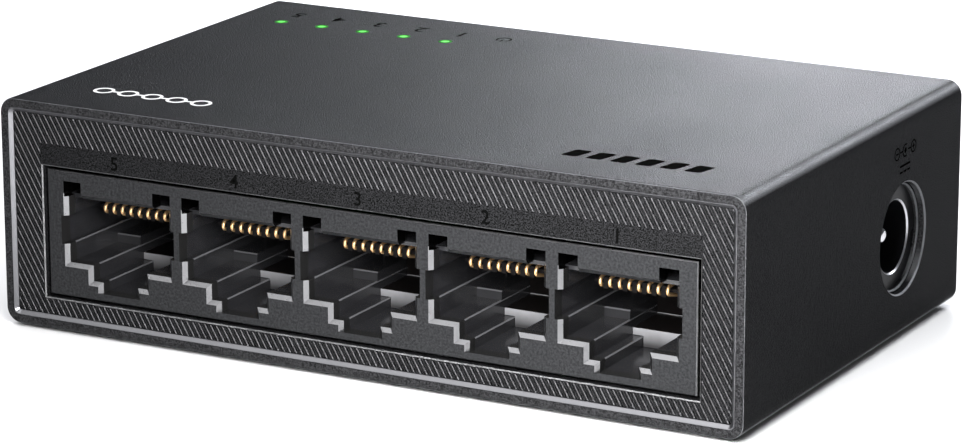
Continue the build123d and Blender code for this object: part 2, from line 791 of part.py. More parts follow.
with BuildPart() as chip_capacitors:
    with BuildSketch(Plane.XY.offset(board_top)):
        with Locations((0.0, 21.6)):
            with GridLocations(2.4, 0, 6, 1):
                Rectangle(0.8, 1.6)
        with Locations((-20.0, 11.0)):
            with GridLocations(2.4, 3.0, 8, 2):
                Rectangle(0.8, 1.6)
    extrude(amount=0.7)
finish(chip_capacitors, "chip_capacitors")

resistor_length = 1.6
resistor_width = 0.8
resistor_height = 0.5
resistor_y = 20.2

with BuildPart() as chip_resistors:
    with BuildSketch(Plane.XY.offset(board_top)):
        with Locations((led_first_x + led_pitch * port_count / 2, resistor_y)):
            with GridLocations(led_pitch, 0, port_count + 1, 1):
                Rectangle(resistor_length, resistor_width)
    extrude(amount=resistor_height)
finish(chip_resistors, "chip_resistors")

# ---------------------------------------------------------------- LEDs and light pipes
led_height = 0.9
led_gap = 0.4
dome_width = 1.2
package_length = 2.0
package_width = 1.25
pipe_bottom = board_top + led_height + led_gap
flange_radius = 1.5
flange_height = 1.0

for led in range(port_count + 1):
    x = led_first_x + led * led_pitch
    powers = led == port_count
    # The row counts down from port 5 on the left, and the power LED ends it.
    led_name = "led_power" if powers else "led_port_" + str(port_count - led)
    pipe_name = "light_pipe_power" if powers else "light_pipe_" + str(port_count - led)
    pipe_top = case_top - thin_top - 2 * fit_gap if powers else case_top
    with BuildPart() as status_led:
        with BuildSketch(Plane.XY.offset(board_top)):
            with Locations((x, led_y)):
                Rectangle(package_length, package_width)
        extrude(amount=led_height / 2)
        with BuildSketch(Plane.XY.offset(board_top + led_height / 2)):
            with Locations((x, led_y)):
                Rectangle(dome_width, dome_width)
        extrude(amount=led_height / 2)
    finish(status_led, led_name)
    with BuildPart() as light_pipe:
        with BuildSketch(Plane.XY.offset(pipe_bottom)):
            with Locations((x, led_y)):
                Circle(pipe_radius)
        extrude(amount=pipe_top - pipe_bottom)
        # Flange that stops the pipe under the case's top wall.
        with BuildSketch(Plane.XY.offset(inner_top - flange_height)):
            with Locations((x, led_y)):
                Circle(flange_radius)
        extrude(amount=flange_height)
    finish(light_pipe, pipe_name)
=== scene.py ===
import json
import math
import bmesh
import bpy
from mathutils import Matrix, Vector


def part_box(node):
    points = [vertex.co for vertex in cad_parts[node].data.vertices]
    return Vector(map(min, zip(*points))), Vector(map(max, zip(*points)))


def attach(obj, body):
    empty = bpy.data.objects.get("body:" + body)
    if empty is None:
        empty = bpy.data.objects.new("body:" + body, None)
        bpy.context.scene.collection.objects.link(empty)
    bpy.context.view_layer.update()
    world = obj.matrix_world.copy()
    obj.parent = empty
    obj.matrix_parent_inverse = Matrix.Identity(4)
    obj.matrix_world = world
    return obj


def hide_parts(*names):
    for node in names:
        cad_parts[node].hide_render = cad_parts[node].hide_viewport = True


# Looks of a five-port desktop network switch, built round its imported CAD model.
# Metres, in the CAD model's frame: +X right when facing the ports, -Y towards the
# user, +Z up, origin on the floor under the middle of the case.

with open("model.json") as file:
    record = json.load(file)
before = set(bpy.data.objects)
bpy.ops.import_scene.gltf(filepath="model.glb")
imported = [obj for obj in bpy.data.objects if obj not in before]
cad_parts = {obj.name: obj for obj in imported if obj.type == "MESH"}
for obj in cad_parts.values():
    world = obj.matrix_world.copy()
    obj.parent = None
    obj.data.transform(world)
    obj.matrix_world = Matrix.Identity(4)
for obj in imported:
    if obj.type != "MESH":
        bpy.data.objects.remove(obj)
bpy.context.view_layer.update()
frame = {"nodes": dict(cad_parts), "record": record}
MM = 0.001
# A printed mark's whole thickness, and how much of it stands out of the surface.
MARK_THICKNESS = 0.03 * MM
MARK_PROUD = 0.012 * MM
# Each part of the direction of a face that leans halfway between two axes.
DIAGONAL = math.sqrt(0.5)


# ------------------------------------------------------------------ mesh helpers
def new_object(name, bm, mats, smooth=False):
    """Turn a bmesh into a named object with the given materials."""
    bmesh.ops.recalc_face_normals(bm, faces=bm.faces)
    mesh = bpy.data.meshes.new(name)
    bm.to_mesh(mesh)
    bm.free()
    for mat in mats:
        mesh.materials.append(mat)
    for face in mesh.polygons:
        face.use_smooth = smooth
    obj = bpy.data.objects.new(name, mesh)
    bpy.context.scene.collection.objects.link(obj)
    return obj


def rounded_rect(half_x, low_z, high_z, radius, y, steps=5):
    """Points of a rounded rectangle in a plane that faces the ports' user."""
    points = []
    corners = (
        (half_x - radius, high_z - radius, 0),
        (-half_x + radius, high_z - radius, 90),
        (-half_x + radius, low_z + radius, 180),
        (half_x - radius, low_z + radius, 270),
    )
    for x, z, start in corners:
        for step in range(steps + 1):
            turn = math.radians(start + 90 * step / steps)
            points.append((x + radius * math.cos(turn), y, z + radius * math.sin(turn)))
    return points


def join_rows(bm, rows):
    """Join rows of vertices one after another, and the last to the first."""
    for here, there in zip(rows, rows[1:] + rows[:1]):
        for i in range(len(here)):
            j = (i + 1) % len(here)
            bm.faces.new((here[i], here[j], there[j], there[i]))


def ring_loft(bm, loops):
    """A closed ring through loops of equal length, given in millimetres."""
    join_rows(bm, [[bm.verts.new(Vector(p) * MM) for p in loop] for loop in loops])


def flat_prism(bm, outline, hole=None):
    """A closed flat prism from (x, y) points, from z = 0 up to a mark's thickness."""
    top = MARK_THICKNESS
    if hole:
        rows = []
        for loop, z in ((outline, 0), (outline, top), (hole, top), (hole, 0)):
            rows.append([bm.verts.new((x, y, z)) for x, y in loop])
        join_rows(bm, rows)
        return
    low = [bm.verts.new((x, y, 0)) for x, y in outline]
    high = [bm.verts.new((x, y, top)) for x, y in outline]
    bm.faces.new(low)
    bm.faces.new(high)
    for i in range(len(low)):
        j = (i + 1) % len(low)
        bm.faces.new((low[i], low[j], high[j], high[i]))


def arc_points(x, y, radius, start=0.0, end=360.0, steps=48):
    """Points along an arc, angles in degrees."""
    closed = abs(end - start) >= 360
    count = steps if closed else steps + 1
    turns = [math.radians(start + (end - start) * i / steps) for i in range(count)]
    return [(x + radius * math.cos(t), y + radius * math.sin(t)) for t in turns]


def disc(bm, x, y, radius):
    """A flat round dot."""
    flat_prism(bm, arc_points(x, y, radius))


def circle_line(bm, x, y, radius, width):
    """A drawn circle whose line is `width` wide."""
    outer = arc_points(x, y, radius + width / 2)
    flat_prism(bm, outer, hole=arc_points(x, y, radius - width / 2))


def arc_line(bm, x, y, radius, width, start, end):
    """A drawn arc whose line is `width` wide, angles in degrees."""
    outer = arc_points(x, y, radius + width / 2, start, end, 32)
    inner = arc_points(x, y, radius - width / 2, start, end, 32)
    flat_prism(bm, outer + inner[::-1])


def bar(bm, x, y, length, width, lean=0.0, radius=0.0):
    """A straight bar, rounded at its corners, leaning by `lean` degrees."""
    radius = max(radius, 0.01 * MM)
    half_l, half_w = length / 2 - radius, width / 2 - radius
    points = []
    corners = ((half_l, half_w), (-half_l, half_w), (-half_l, -half_w), (half_l, -half_w))
    for index, (corner_x, corner_y) in enumerate(corners):
        points += arc_points(corner_x, corner_y, radius, 90 * index, 90 * index + 90, 4)
    shear = math.tan(math.radians(lean))
    flat_prism(bm, [(x + px + shear * py, y + py) for px, py in points])


# Which way a flat mark's own x, y and z point on each face of the case.
FACE_FRONT = Matrix(((1, 0, 0, 0), (0, 0, -1, 0), (0, 1, 0, 0), (0, 0, 0, 1)))
FACE_TOP = Matrix.Identity(4)
FACE_TOP_TURNED = Matrix.Rotation(math.pi, 4, "Z")
FACE_RIGHT = Matrix(((0, 0, 1, 0), (1, 0, 0, 0), (0, 1, 0, 0), (0, 0, 0, 1)))


def place_mark(name, bm, mat, facing, place):
    """Print a flat mark on a face: it stands just proud of the surface at `place`."""
    sink = Matrix.Translation((0, 0, MARK_PROUD - MARK_THICKNESS))
    bmesh.ops.transform(bm, matrix=Matrix.Translation(place) @ facing @ sink, verts=bm.verts)
    obj = new_object(name, bm, [mat])
    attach(obj, "root")
    return obj


def numeral(text, height):
    """A numeral as a flat closed mesh, centred on the origin."""
    curve = bpy.data.curves.new("numeral", "FONT")
    curve.body = text
    curve.extrude = 0.5
    curve.offset = 0.014
    curve.resolution_u = 6
    holder = bpy.data.objects.new("numeral", curve)
    mesh = bpy.data.meshes.new_from_object(holder)
    bm = bmesh.new()
    bm.from_mesh(mesh)
    bpy.data.objects.remove(holder)
    bpy.data.curves.remove(curve)
    bpy.data.meshes.remove(mesh)
    bmesh.ops.remove_doubles(bm, verts=bm.verts, dist=1e-5)
    xs = [v.co.x for v in bm.verts]
    ys = [v.co.y for v in bm.verts]
    size = height / (max(ys) - min(ys))
    middle_x, middle_y = (max(xs) + min(xs)) / 2, (max(ys) + min(ys)) / 2
    for v in bm.verts:
        v.co.x = (v.co.x - middle_x) * size
        v.co.y = (v.co.y - middle_y) * size
        v.co.z = MARK_THICKNESS if v.co.z > 0 else 0
    return bm


# ------------------------------------------------------------------ material helpers
class Nodes:
    """A short way to write a material's node tree."""

    def __init__(self, name):
        self.mat = bpy.data.materials.new(name)
        self.mat.use_nodes = True
        self.tree = self.mat.node_tree
        self.bsdf = self.tree.nodes["Principled BSDF"]
        self.where = self.add("ShaderNodeTexCoord").outputs["Object"]

    def add(self, kind, **values):
        node = self.tree.nodes.new(kind)
        for key, value in values.items():
            setattr(node, key, value)
        return node

    def link(self, source, target):
        self.tree.links.new(source, target)

    def math(self, operation, a, b=None, c=None):
        node = self.add("ShaderNodeMath", operation=operation)
        for socket, value in zip(node.inputs, (a, b, c)):
            if value is None:
                continue
            if isinstance(value, (int, float)):
                socket.default_value = value
            else:
                self.link(value, socket)
        return node.outputs[0]

    def noise(self, size, detail=2.0, rough=0.5, stretch=None):
        """Noise whose features are about `size` millimetres across."""
        node = self.add("ShaderNodeTexNoise")
        where = self.where
        if stretch:
            scale = self.add("ShaderNodeMapping")
            scale.inputs["Scale"].default_value = stretch
            self.link(where, scale.inputs["Vector"])
            where = scale.outputs["Vector"]
        self.link(where, node.inputs["Vector"])
        node.inputs["Scale"].default_value = 1 / (size * MM)
        node.inputs["Detail"].default_value = detail
        node.inputs["Roughness"].default_value = rough
        return node.outputs["Fac"]

    def spread(self, value, low, high, start=0.0, end=1.0):
        """Map `start`..`end` to `low`..`high`."""
        node = self.add("ShaderNodeMapRange")
        node.inputs["From Min"].default_value = start
        node.inputs["From Max"].default_value = end
        node.inputs["To Min"].default_value = low
        node.inputs["To Max"].default_value = high
        self.link(value, node.inputs["Value"])
        return node.outputs["Result"]

    def blend(self, factor, first, second):
        """Mix two colours."""
        node = self.add("ShaderNodeMix", data_type="RGBA")
        self.link(factor, node.inputs["Factor"])
        for socket, value in ((node.inputs[6], first), (node.inputs[7], second)):
            if isinstance(value, tuple):
                socket.default_value = (*value, 1)
            else:
                self.link(value, socket)
        return node.outputs[2]

    def mix_values(self, factor, first, second):
        """Mix two numbers."""
        node = self.add("ShaderNodeMix", data_type="FLOAT")
        self.link(factor, node.inputs["Factor"])
        for socket, value in ((node.inputs[2], first), (node.inputs[3], second)):
            if isinstance(value, (int, float)):
                socket.default_value = value
            else:
                self.link(value, socket)
        return node.outputs[0]

    def bump(self, height, depth):
        """Surface relief `depth` millimetres deep."""
        node = self.add("ShaderNodeBump")
        node.inputs["Strength"].default_value = 1.0
        node.inputs["Distance"].default_value = depth * MM
        self.link(height, node.inputs["Height"])
        return node.outputs["Normal"]

    def split(self, vector):
        """The three numbers of a vector."""
        parts = self.add("ShaderNodeSeparateXYZ")
        self.link(vector, parts.inputs[0])
        return parts.outputs["X"], parts.outputs["Y"], parts.outputs["Z"]

    def facing(self, smooth=False):
        """The surface's own direction, as three numbers."""
        geometry = self.add("ShaderNodeNewGeometry")
        return self.split(geometry.outputs["Normal" if smooth else "True Normal"])

    def faces_front(self):
        """Mask of surfaces square to the ports' user."""
        return self.math("LESS_THAN", self.facing()[1], -0.9)

    def within_part(self):
        """Where a point is in its own part's box, as three numbers from 0 to 1."""
        return self.split(self.add("ShaderNodeTexCoord").outputs["Generated"])

    def edges(self, rings=False):
        """Mask of surfaces that lean between the axes, as rounded and bevelled edges do.

        With `rings`, only of bevels round an opening that faces left or right.
        """
        x, y, z = [self.math("ABSOLUTE", part) for part in self.facing(smooth=not rings)]
        if rings:
            return self.math("COMPARE", x, DIAGONAL, 0.12)
        most = self.math("MAXIMUM", self.math("MAXIMUM", x, y), z)
        return self.spread(most, 1.0, 0.0, 0.74, 0.92)

    def set(self, name, value):
        socket = self.bsdf.inputs[name]
        if isinstance(value, tuple):
            socket.default_value = (*value, 1)
        elif isinstance(value, (int, float)):
            socket.default_value = value
        else:
            self.link(value, socket)


# Shares of a part's own height, from its foot, where its surface changes: above the first two the surface
# is painted dead black as shade, and below the third the nose's front is pale.
PLATE_SHADE_FROM = 0.79
HOUSING_SHADE_FROM = 0.806
NOSE_TOP = 0.27
# A black with no light in it: painted shade where the openings stand in shadow.
PAINTED_SHADE_BLACK = (0.0005, 0.0005, 0.0005)


def moulded(
    name, colour, rough, specular=0.5, grain=0.35, depth=0.02, tint=0.12,
    edge=None, edge_rough=0.3, rings=False, rim=None,
):
    """Moulded plastic or rubber with a fine grain.

    Its edges take `edge`, a paler metallic colour that is a painted highlight, and its faces square to the
    front take `rim`, a lighter colour that is painted light.
    """
    n = Nodes(name)
    fine = n.noise(grain, 3.0, 0.6)
    broad = n.noise(14.0, 2.0)
    darker = tuple(c * (1 - tint) for c in colour)
    lighter = tuple(min(1.0, c * (1 + tint)) for c in colour)
    base = n.blend(n.spread(fine, 0, 1, 0.3, 0.7), darker, lighter)
    roughness = n.spread(broad, rough - 0.04, rough + 0.05)
    # Faces square to the front take a lighter grained colour: painted light on the front rim.
    if rim:
        rim_dark = tuple(c * 0.3 for c in rim)
        rim_light = tuple(c * 1.7 for c in rim)
        painted_rim_light = n.blend(n.spread(fine, 0, 1, 0.38, 0.62), rim_dark, rim_light)
        base = n.blend(n.faces_front(), base, painted_rim_light)
    # Rounded and bevelled edges take a pale metallic colour: a painted highlight.
    if edge:
        painted_edge_highlight = n.edges(rings)
        base = n.blend(painted_edge_highlight, base, edge)
        roughness = n.mix_values(painted_edge_highlight, roughness, edge_rough)
        n.set("Metallic", painted_edge_highlight)
    n.set("Base Color", base)
    n.set("Roughness", roughness)
    n.set("Specular IOR Level", specular)
    n.set("Normal", n.bump(fine, depth))
    return n.mat


def bright_cut(
    name, colour, rough, specular, bevel_highlight_colour, rib_highlight_colour, cut_rough,
    grain, depth, tint, inner=None,
):
    """Grained plastic whose 45-degree bevels take a pale metallic colour as a painted highlight, with
    smooth dark inner walls; their upper part is painted dead black as shade.

    Bevels that run straight up or across take the first highlight colour, and slanting ones, the ribs'
    flanks, the second; both are painted highlights.
    """
    n = Nodes(name)
    x, y, z = n.facing()
    # Front-facing 45-degree bevels: their pale metallic colour is a painted highlight.
    cut = n.math("COMPARE", y, -DIAGONAL, 0.1)
    upright = n.math("COMPARE", n.math("ABSOLUTE", x), DIAGONAL, 0.05)
    level = n.math("COMPARE", n.math("ABSOLUTE", z), DIAGONAL, 0.05)
    fine = n.noise(grain, 3.0, 0.6)
    broad = n.noise(11.0, 2.0)
    darker = tuple(c * (1 - tint) for c in colour)
    lighter = tuple(c * (1 + tint) for c in colour)
    plain = n.blend(n.spread(fine, 0, 1, 0.38, 0.62), darker, lighter)
    plain_rough = n.spread(broad, rough - 0.04, rough + 0.05)
    # Inner walls are smoother and darker; above their share of the plate's height they are painted dead
    # black as shade.
    if inner:
        wall = n.math("COMPARE", y, 0.0, 0.1)
        above = n.math("GREATER_THAN", n.within_part()[2], PLATE_SHADE_FROM)
        plain = n.blend(wall, plain, n.blend(above, (inner, inner, inner), PAINTED_SHADE_BLACK))
        plain_rough = n.mix_values(wall, plain_rough, 0.22)
    painted_bevel_highlight = n.blend(n.math("MAXIMUM", upright, level), rib_highlight_colour, bevel_highlight_colour)
    n.set("Base Color", n.blend(cut, plain, painted_bevel_highlight))
    cut_roughness = n.spread(fine, cut_rough - 0.04, cut_rough + 0.06)
    n.set("Roughness", n.mix_values(cut, plain_rough, cut_roughness))
    n.set("Metallic", cut)
    n.set("Specular IOR Level", specular)
    n.set("Normal", n.bump(fine, depth))
    return n.mat


def metal(name, colour, rough, brush=(1, 1, 1), brush_size=0.2, depth=0.004):
    """Metal with fine brushing or polish marks along one axis."""
    n = Nodes(name)
    lines = n.noise(brush_size, 4.0, 0.6, stretch=brush)
    cloud = n.noise(5.0, 2.0)
    n.set("Base Color", n.blend(cloud, tuple(c * 0.92 for c in colour), colour))
    n.set("Roughness", n.spread(lines, rough - 0.05, rough + 0.08))
    n.set("Metallic", 1.0)
    n.set("Normal", n.bump(lines, depth))
    return n.mat


# ------------------------------------------------------------------ materials
# The case's rounded edges take a painted highlight, and its front rim a lighter colour as painted light.
case_mat = moulded(
    "case_plastic", (0.0068, 0.007, 0.0076),
    rough=0.46, specular=0.011, grain=0.16, depth=0.2, tint=0.8,
    edge=(0.13, 0.133, 0.14), edge_rough=0.3, rim=(0.021, 0.021, 0.0222),
)
# The bezel's bevels and its ribs' flanks take painted highlights.
bezel_mat = bright_cut(
    "bezel_plastic", (0.0095, 0.0095, 0.0101),
    rough=0.42, specular=0.015, bevel_highlight_colour=(0.2, 0.2, 0.205),
    rib_highlight_colour=(0.09, 0.09, 0.094), cut_rough=0.34, grain=0.15, depth=0.14, tint=0.98,
)
# The plate's bevels take a painted highlight, and the upper part of its inner walls painted dead-black
# shade.
plate_mat = bright_cut(
    "plate_plastic", (0.018, 0.0184, 0.0195),
    rough=0.42, specular=0.04, bevel_highlight_colour=(0.2, 0.2, 0.206),
    rib_highlight_colour=(0.2, 0.2, 0.206), cut_rough=0.28, grain=0.24, depth=0.03, tint=0.35, inner=0.011,
)
trim_mat = metal(
    "trim_metal", (0.18, 0.18, 0.19),
    rough=0.3, brush=(0.2, 1, 0.2), brush_size=0.3, depth=0.0008,
)
gold_mat = metal(
    "contact_gold", (1.0, 0.66, 0.34),
    rough=0.46, brush=(1, 1, 1), brush_size=0.25, depth=0.002,
)
board_mat = moulded(
    "board_laminate", (0.01, 0.09, 0.035),
    rough=0.35, specular=0.5, grain=0.9, depth=0.01, tint=0.15,
)
chip_mat = moulded(
    "chip_epoxy", (0.02, 0.02, 0.022),
    rough=0.5, specular=0.45, grain=0.2, depth=0.012, tint=0.2,
)
transformer_mat = moulded(
    "transformer_epoxy", (0.016, 0.016, 0.017),
    rough=0.38, specular=0.5, grain=0.4, depth=0.01, tint=0.15,
)
can_mat = metal("can_metal", (0.8, 0.8, 0.82), rough=0.28, brush=(1, 1, 0.1), brush_size=0.3)
ferrite_mat = moulded(
    "ferrite", (0.06, 0.06, 0.065),
    rough=0.6, specular=0.4, grain=0.25, depth=0.03, tint=0.2,
)
ceramic_mat = moulded(
    "ceramic_chip", (0.36, 0.24, 0.13),
    rough=0.4, specular=0.5, grain=0.3, depth=0.01, tint=0.1,
)
screw_mat = metal("screw_steel", (0.2, 0.2, 0.21), rough=0.42, brush=(1, 1, 1), brush_size=0.3)
# The bevelled rings round the inlet's openings take a pale metallic colour: a painted highlight.
inlet_mat = moulded(
    "inlet_plastic", (0.004, 0.004, 0.0045),
    rough=0.28, specular=0.06, grain=0.5, depth=0.008, tint=0.12, edge=(0.5, 0.5, 0.52), rings=True,
)
pin_mat = metal(
    "pin_chrome", (0.6, 0.6, 0.615),
    rough=0.16, brush=(0.1, 1, 1), brush_size=0.3, depth=0.001,
)
spring_mat = metal("spring_metal", (0.72, 0.7, 0.66), rough=0.25, brush=(0.1, 1, 1), brush_size=0.3)
rubber_mat = moulded(
    "foot_rubber", (0.014, 0.014, 0.014),
    rough=0.75, specular=0.3, grain=0.4, depth=0.04, tint=0.2,
)
led_mat = moulded(
    "led_package", (0.75, 0.78, 0.7),
    rough=0.3, specular=0.5, grain=0.3, depth=0.006, tint=0.06,
)
clear_mat = moulded(
    "clear_pipe", (0.55, 0.58, 0.55),
    rough=0.12, specular=0.5, grain=0.5, depth=0.003, tint=0.05,
)
white_ink = moulded(
    "white_ink", (0.62, 0.62, 0.62),
    rough=0.5, specular=0.4, grain=0.2, depth=0.006, tint=0.04,
)
black_ink = moulded(
    "black_ink", (0.002, 0.002, 0.002),
    rough=0.8, specular=0.0, grain=0.2, depth=0.004, tint=0.1,
)


def lit_lens():
    """Green light pipe: a bright core that falls off towards its rim."""
    n = Nodes("lit_pipe")
    x, y, _ = n.within_part()
    across = n.math("SUBTRACT", x, 0.5)
    along = n.math("SUBTRACT", y, 0.5)
    squares = [n.math("MULTIPLY", value, value) for value in (across, along)]
    out = n.math("SQRT", n.math("ADD", *squares))
    core = n.spread(out, 1.0, 0.0, 0.02, 0.26)
    mottled = n.math("MULTIPLY", core, n.spread(n.noise(0.35, 2.0), 0.85, 1.1))
    n.set("Base Color", n.blend(mottled, (0.01, 0.06, 0.01), (0.08, 0.6, 0.07)))
    n.set("Emission Color", n.blend(mottled, (0.01, 0.12, 0.015), (0.1, 0.5, 0.06)))
    n.set("Emission Strength", n.spread(mottled, 0.5, 0.9))
    n.set("Roughness", 0.2)
    return n.mat


def jack_black():
    """Glossy black housing with a paler colour on its bevelled long edges as a painted highlight, and
    painted dead-black shade over the jacks.
    """
    n = Nodes("housing_plastic")
    height = n.within_part()[2]
    # Above this share of its height the housing is painted dead black as shade, with no reflection.
    painted_shade_zone = n.math("GREATER_THAN", height, HOUSING_SHADE_FROM)
    # Bevelled long edges that lean halfway upwards take a paler colour: a painted highlight.
    lean = n.math("COMPARE", n.facing()[2], DIAGONAL, 0.1)
    cloud = n.noise(1.6, 2.0)
    black = n.blend(cloud, (0.012, 0.012, 0.013), (0.019, 0.019, 0.021))
    black = n.blend(painted_shade_zone, black, PAINTED_SHADE_BLACK)
    n.set("Base Color", n.blend(lean, black, (0.085, 0.085, 0.09)))
    n.set("Roughness", n.mix_values(painted_shade_zone, n.spread(n.noise(0.5), 0.16, 0.26), 0.7))
    n.set("Specular IOR Level", n.mix_values(painted_shade_zone, 0.42, 0.0))
    n.set("Normal", n.bump(cloud, 0.004))
    return n.mat


def nosed_carrier():
    """Black carrier, whose nose has a pale front that painted shade darkens from its top downwards."""
    n = Nodes("carrier_plastic")
    height = n.within_part()[2]
    low = n.math("LESS_THAN", height, NOSE_TOP)
    front = n.faces_front()
    # The nose's front is pale, and painted shade darkens it from its top downwards.
    pale_front_painted_fade = n.math("MULTIPLY", n.math("MULTIPLY", low, front), n.spread(height, 0.12, 1.0, 0.1, 0.25))
    cloud = n.noise(1.1, 2.0)
    black = n.blend(cloud, (0.0035, 0.003, 0.003), (0.006, 0.0052, 0.005))
    n.set("Base Color", n.blend(pale_front_painted_fade, black, n.blend(cloud, (0.17, 0.17, 0.178), (0.25, 0.25, 0.26))))
    n.set("Roughness", n.mix_values(pale_front_painted_fade, n.spread(n.noise(0.4), 0.25, 0.35), 0.6))
    n.set("Specular IOR Level", 0.04)
    n.set("Normal", n.bump(cloud, 0.004))
    return n.mat


housing_mat = jack_black()
carrier_mat = nosed_carrier()
lens_mat = lit_lens()

looks = {
    "case_plastic": case_mat, "bezel_plastic": bezel_mat, "trim_metal": trim_mat,
    "plate_plastic": plate_mat, "housing_plastic": housing_mat,
    "carrier_plastic": carrier_mat, "contact_gold": gold_mat, "lit_pipe": lens_mat,
    "clear_pipe": clear_mat, "led_package": led_mat, "board_laminate": board_mat,
    "chip_epoxy": chip_mat, "transformer_epoxy": transformer_mat, "can_metal": can_mat,
    "ferrite": ferrite_mat, "ceramic_chip": ceramic_mat, "screw_steel": screw_mat,
    "inlet_plastic": inlet_mat, "pin_chrome": pin_mat, "spring_metal": spring_mat,
    "foot_rubber": rubber_mat,
}
for subpart in frame["record"]["subparts"]:
    node = frame["nodes"][subpart["node"]]
    for material_slot in node.material_slots:
        material_slot.material = looks[subpart["material_slot"]]

# ------------------------------------------------------------------ ribbed front bezel
trim_low, trim_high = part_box("accent_trim")
bezel_low, bezel_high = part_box("front_bezel")
plate_low, plate_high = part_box("jack_face_plate")

# The bezel's sizes are millimetres, and its ribs' slope is degrees.
TRIM_WIDTH = 0.38
TRIM_GAP = 0.025
BEZEL_BACK = -23.6
BEZEL_FLANGE = 0.8
WINDOW_GAP_X = 0.38
WINDOW_GAP_Z = 0.32
FINE_CHAMFER = 0.12
FLANGE_CORNER = 0.6
FRAME_CORNER = 0.28
SHARP_CORNER = 0.02
RIB_HEIGHT = 0.07
RIB_PITCH = 0.61
RIB_CREST = 0.25
RIB_SLOPE = 60.5
RIB_SINK = 0.03
BAND_MARGIN = 0.2
BAND_RISE = 2.32
RIB_MARGIN = 0.06

crest_y = bezel_low.y / MM
valley_y = crest_y + RIB_HEIGHT
flange_x = bezel_high.x / MM
flange_low, flange_high = bezel_low.z / MM, bezel_high.z / MM
outer_x = trim_high.x / MM - TRIM_WIDTH - TRIM_GAP
outer_low = trim_low.z / MM + TRIM_WIDTH + TRIM_GAP
outer_high = trim_high.z / MM - TRIM_WIDTH - TRIM_GAP
window_x = plate_high.x / MM + WINDOW_GAP_X
window_low = plate_low.z / MM - WINDOW_GAP_Z
window_high = plate_high.z / MM + WINDOW_GAP_Z
band_x = window_x + BAND_MARGIN
band_low = window_low - BAND_MARGIN
band_high = window_high + BAND_RISE


def add_ribs(bm, low_x, high_x, low_z, high_z):
    """Slanting ribs that cover one rectangle of the bezel's border."""
    ribs = bmesh.new()
    slope = math.radians(RIB_SLOPE)
    along = Vector((math.cos(slope), 0, -math.sin(slope)))
    across = Vector((math.sin(slope), 0, math.cos(slope)))
    reach = 0.5 * math.hypot(high_x - low_x, high_z - low_z) + 1.0
    middle = Vector(((low_x + high_x) / 2, 0, (low_z + high_z) / 2))
    first = math.floor((middle.dot(across) - reach) / RIB_PITCH)
    last = math.ceil((middle.dot(across) + reach) / RIB_PITCH)
    half_foot = RIB_CREST / 2 + RIB_HEIGHT
    profile = (
        (-half_foot, valley_y + RIB_SINK), (-half_foot, valley_y), (-RIB_CREST / 2, crest_y),
        (RIB_CREST / 2, crest_y), (half_foot, valley_y), (half_foot, valley_y + RIB_SINK),
    )
    for index in range(first, last + 1):
        centre = across * (index * RIB_PITCH) + along * middle.dot(along)
        ends = []
        for side in (-reach, reach):
            spine = centre + along * side
            ends.append([ribs.verts.new((spine + across * s + Vector((0, y, 0))) * MM) for s, y in profile])
        for i in range(len(profile)):
            j = (i + 1) % len(profile)
            ribs.faces.new((ends[0][i], ends[0][j], ends[1][j], ends[1][i]))
        ribs.faces.new(ends[0])
        ribs.faces.new(ends[1])
    planes = (
        ((low_x, 0, 0), (-1, 0, 0)), ((high_x, 0, 0), (1, 0, 0)),
        ((0, 0, low_z), (0, 0, -1)), ((0, 0, high_z), (0, 0, 1)),
    )
    for point, out in planes:
        everything = ribs.verts[:] + ribs.edges[:] + ribs.faces[:]
        cut = bmesh.ops.bisect_plane(
            ribs, geom=everything, plane_co=Vector(point) * MM, plane_no=out,
            clear_outer=True, dist=1e-8,
        )
        edges = [e for e in cut["geom_cut"] if isinstance(e, bmesh.types.BMEdge)]
        bmesh.ops.holes_fill(ribs, edges=edges, sides=0)
    mesh = bpy.data.meshes.new("ribs")
    ribs.to_mesh(mesh)
    ribs.free()
    bm.from_mesh(mesh)
    bpy.data.meshes.remove(mesh)


bm = bmesh.new()
flange_front = BEZEL_BACK - BEZEL_FLANGE
bevel_x = window_x + FINE_CHAMFER
bevel_low = window_low - FINE_CHAMFER
bevel_high = window_high + FINE_CHAMFER
ring_loft(bm, [
    rounded_rect(flange_x, flange_low, flange_high, FLANGE_CORNER, BEZEL_BACK),
    rounded_rect(flange_x, flange_low, flange_high, FLANGE_CORNER, flange_front),
    rounded_rect(outer_x, outer_low, outer_high, FRAME_CORNER, flange_front),
    rounded_rect(outer_x, outer_low, outer_high, FRAME_CORNER, valley_y),
    rounded_rect(band_x, band_low, band_high, SHARP_CORNER, valley_y),
    rounded_rect(band_x, band_low, band_high, SHARP_CORNER, crest_y),
    rounded_rect(bevel_x, bevel_low, bevel_high, SHARP_CORNER, crest_y),
    rounded_rect(window_x, window_low, window_high, SHARP_CORNER, crest_y + FINE_CHAMFER),
    rounded_rect(window_x, window_low, window_high, SHARP_CORNER, BEZEL_BACK),
])
add_ribs(bm, -outer_x + RIB_MARGIN, -band_x, outer_low + RIB_MARGIN, outer_high - RIB_MARGIN)
add_ribs(bm, band_x, outer_x - RIB_MARGIN, outer_low + RIB_MARGIN, outer_high - RIB_MARGIN)
add_ribs(bm, -band_x, band_x, band_high, outer_high - RIB_MARGIN)
add_ribs(bm, -band_x, band_x, outer_low + RIB_MARGIN, band_low)
ribbed_bezel = new_object("ribbed_bezel", bm, [bezel_mat])
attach(ribbed_bezel, "root")
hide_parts("front_bezel")

# ------------------------------------------------------------------ printed numbers and signs
case_low, case_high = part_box("outer_sleeve")
# Heights and places of the marks. The numbers on the band stand a drop below its top edge.
NUMERAL_FRONT = 1.4 * MM
NUMERAL_TOP = 1.9 * MM
TOP_SIGNS_Y = 20.5 * MM
MARKS_Y = -18.9 * MM
WHITE_MARK_X = -27.8 * MM
BLACK_MARK_X = 26.8 * MM
POLARITY_Z = 20.0 * MM
DIRECT_CURRENT_Z = 18.2 * MM
NUMERAL_DROP = 1.17 * MM
numeral_z = band_high * MM - NUMERAL_DROP

